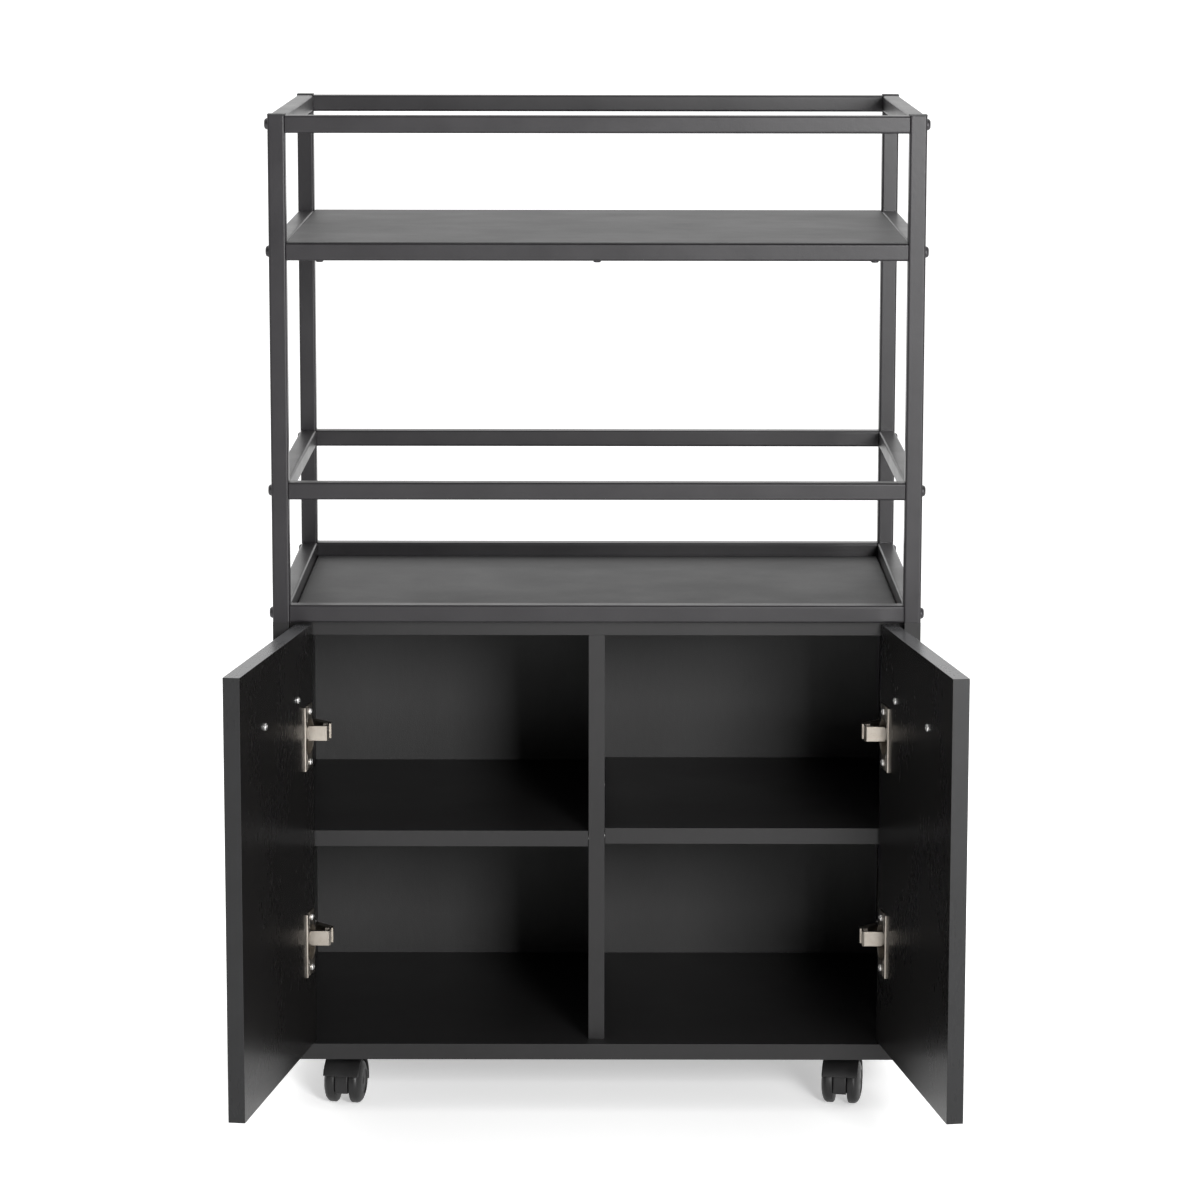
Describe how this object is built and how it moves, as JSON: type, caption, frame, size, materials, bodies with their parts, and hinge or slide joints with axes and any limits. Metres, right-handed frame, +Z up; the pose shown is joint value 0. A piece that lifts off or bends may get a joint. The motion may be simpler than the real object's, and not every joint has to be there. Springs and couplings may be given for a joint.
{
  "type": "kitchen island cart",
  "caption": "Open steel-tube upper frame with a shelf and a tray over a two-door cabinet with inner shelves, rolling on swivel casters.",
  "frame": {"origin": "on the floor, at the centre of the bounding box with both doors open", "axes": "+X to the right as seen from the front, +Y towards the back, +Z up; the doors open towards -Y"},
  "size_m": [0.6572, 0.6658, 0.9372],
  "materials": {
    "frame_powder_coat": "satin charcoal powder coat with a fine orange-peel",
    "sheet_powder_coat": "satin dark grey powder coat on sheet steel",
    "black_fastener": "blackened steel",
    "zinc_fastener": "bright zinc plate",
    "hinge_nickel": "nickel-plated pressed steel",
    "handle_metal": "satin black paint",
    "door_board": "black melamine on particle board, fine pore texture",
    "cabinet_board": "black melamine on particle board, fine pore texture",
    "back_board": "black paper-faced hardboard with a fine grain",
    "black_plastic": "moulded black plastic",
    "caster_zinc": "zinc-plated pressed steel",
    "caster_hood": "moulded black nylon",
    "caster_wheel": "moulded black nylon"
  },
  "bodies": {
    "cart": {"cabinet_back": "back_board", "cabinet_bottom": "cabinet_board", "cabinet_divider": "cabinet_board", "cabinet_screws": "zinc_fastener", "cabinet_side_left": "cabinet_board", "cabinet_side_right": "cabinet_board", "cabinet_top": "cabinet_board", "cam_fittings": "zinc_fastener", "caster_plates": "caster_zinc", "frame_bolts": "black_fastener", "guard_rail_back": "frame_powder_coat", "guard_rail_front": "frame_powder_coat", "guard_rail_left": "frame_powder_coat", "guard_rail_right": "frame_powder_coat", "hinge_arms": "hinge_nickel", "hinge_plates": "hinge_nickel", "inner_shelf_left": "cabinet_board", "inner_shelf_right": "cabinet_board", "mounting_screws": "zinc_fastener", "post_back_left": "frame_powder_coat", "post_back_right": "frame_powder_coat", "post_caps": "black_plastic", "post_front_left": "frame_powder_coat", "post_front_right": "frame_powder_coat", "shelf_panel": "sheet_powder_coat", "shelf_pins": "zinc_fastener", "shelf_rail_back": "frame_powder_coat", "shelf_rail_front": "frame_powder_coat", "shelf_rail_left": "frame_powder_coat", "shelf_rail_right": "frame_powder_coat", "shelf_screws": "black_fastener", "top_rail_back": "frame_powder_coat", "top_rail_front": "frame_powder_coat", "top_rail_left": "frame_powder_coat", "top_rail_right": "frame_powder_coat", "tray_panel": "sheet_powder_coat", "tray_rail_back": "frame_powder_coat", "tray_rail_front": "frame_powder_coat", "tray_rail_left": "frame_powder_coat", "tray_rail_right": "frame_powder_coat"},
    "left_door": {"door_left": "door_board", "door_screws_left": "zinc_fastener", "handle_left": "handle_metal", "hinge_cups_left": "hinge_nickel"},
    "right_door": {"door_right": "door_board", "door_screws_right": "zinc_fastener", "handle_right": "handle_metal", "hinge_cups_right": "hinge_nickel"},
    "caster_front_left_swivel": {"caster_front_left_fork": "caster_hood"},
    "caster_front_left_left_wheel": {"caster_front_left_left_wheel": "caster_wheel"},
    "caster_front_left_right_wheel": {"caster_front_left_right_wheel": "caster_wheel"},
    "caster_front_right_swivel": {"caster_front_right_fork": "caster_hood"},
    "caster_front_right_left_wheel": {"caster_front_right_left_wheel": "caster_wheel"},
    "caster_front_right_right_wheel": {"caster_front_right_right_wheel": "caster_wheel"},
    "caster_back_left_swivel": {"caster_back_left_fork": "caster_hood"},
    "caster_back_left_left_wheel": {"caster_back_left_left_wheel": "caster_wheel"},
    "caster_back_left_right_wheel": {"caster_back_left_right_wheel": "caster_wheel"},
    "caster_back_right_swivel": {"caster_back_right_fork": "caster_hood"},
    "caster_back_right_left_wheel": {"caster_back_right_left_wheel": "caster_wheel"},
    "caster_back_right_right_wheel": {"caster_back_right_right_wheel": "caster_wheel"}
  },
  "joints": [
    {"name": "left_door_swing", "type": "hinge", "parent": "cart", "child": "left_door", "pos_m": [-0.2745, -0.06134, 0.2645], "axis": [0, 0, 1], "range_deg": [0, 99.1]},
    {"name": "right_door_swing", "type": "hinge", "parent": "cart", "child": "right_door", "pos_m": [0.2745, -0.06134, 0.2645], "axis": [0, 0, 1], "range_deg": [-99.1, 0]},
    {"name": "caster_front_left_turn", "type": "hinge", "parent": "cart", "child": "caster_front_left_swivel", "pos_m": [-0.236, -0.01714, 0.036], "axis": [0, 0, 1], "continuous": true},
    {"name": "caster_front_left_left_wheel_spin", "type": "hinge", "parent": "caster_front_left_swivel", "child": "caster_front_left_left_wheel", "pos_m": [-0.25106, -0.02769, 0.021], "axis": [0.9848, -0.1736, 0], "continuous": true},
    {"name": "caster_front_left_right_wheel_spin", "type": "hinge", "parent": "caster_front_left_swivel", "child": "caster_front_left_right_wheel", "pos_m": [-0.22545, -0.0322, 0.021], "axis": [0.9848, -0.1736, 0], "continuous": true},
    {"name": "caster_front_right_turn", "type": "hinge", "parent": "cart", "child": "caster_front_right_swivel", "pos_m": [0.236, -0.01714, 0.036], "axis": [0, 0, 1], "continuous": true},
    {"name": "caster_front_right_left_wheel_spin", "type": "hinge", "parent": "caster_front_right_swivel", "child": "caster_front_right_left_wheel", "pos_m": [0.22094, -0.02769, 0.021], "axis": [0.9848, -0.1736, 0], "continuous": true},
    {"name": "caster_front_right_right_wheel_spin", "type": "hinge", "parent": "caster_front_right_swivel", "child": "caster_front_right_right_wheel", "pos_m": [0.24654, -0.0322, 0.021], "axis": [0.9848, -0.1736, 0], "continuous": true},
    {"name": "caster_back_left_turn", "type": "hinge", "parent": "cart", "child": "caster_back_left_swivel", "pos_m": [-0.236, 0.28286, 0.036], "axis": [0, 0, 1], "continuous": true},
    {"name": "caster_back_left_left_wheel_spin", "type": "hinge", "parent": "caster_back_left_swivel", "child": "caster_back_left_left_wheel", "pos_m": [-0.25106, 0.27231, 0.021], "axis": [0.9848, -0.1736, 0], "continuous": true},
    {"name": "caster_back_left_right_wheel_spin", "type": "hinge", "parent": "caster_back_left_swivel", "child": "caster_back_left_right_wheel", "pos_m": [-0.22545, 0.2678, 0.021], "axis": [0.9848, -0.1736, 0], "continuous": true},
    {"name": "caster_back_right_turn", "type": "hinge", "parent": "cart", "child": "caster_back_right_swivel", "pos_m": [0.236, 0.28286, 0.036], "axis": [0, 0, 1], "continuous": true},
    {"name": "caster_back_right_left_wheel_spin", "type": "hinge", "parent": "caster_back_right_swivel", "child": "caster_back_right_left_wheel", "pos_m": [0.22094, 0.27231, 0.021], "axis": [0.9848, -0.1736, 0], "continuous": true},
    {"name": "caster_back_right_right_wheel_spin", "type": "hinge", "parent": "caster_back_right_swivel", "child": "caster_back_right_right_wheel", "pos_m": [0.24654, 0.2678, 0.021], "axis": [0.9848, -0.1736, 0], "continuous": true}
  ]
}
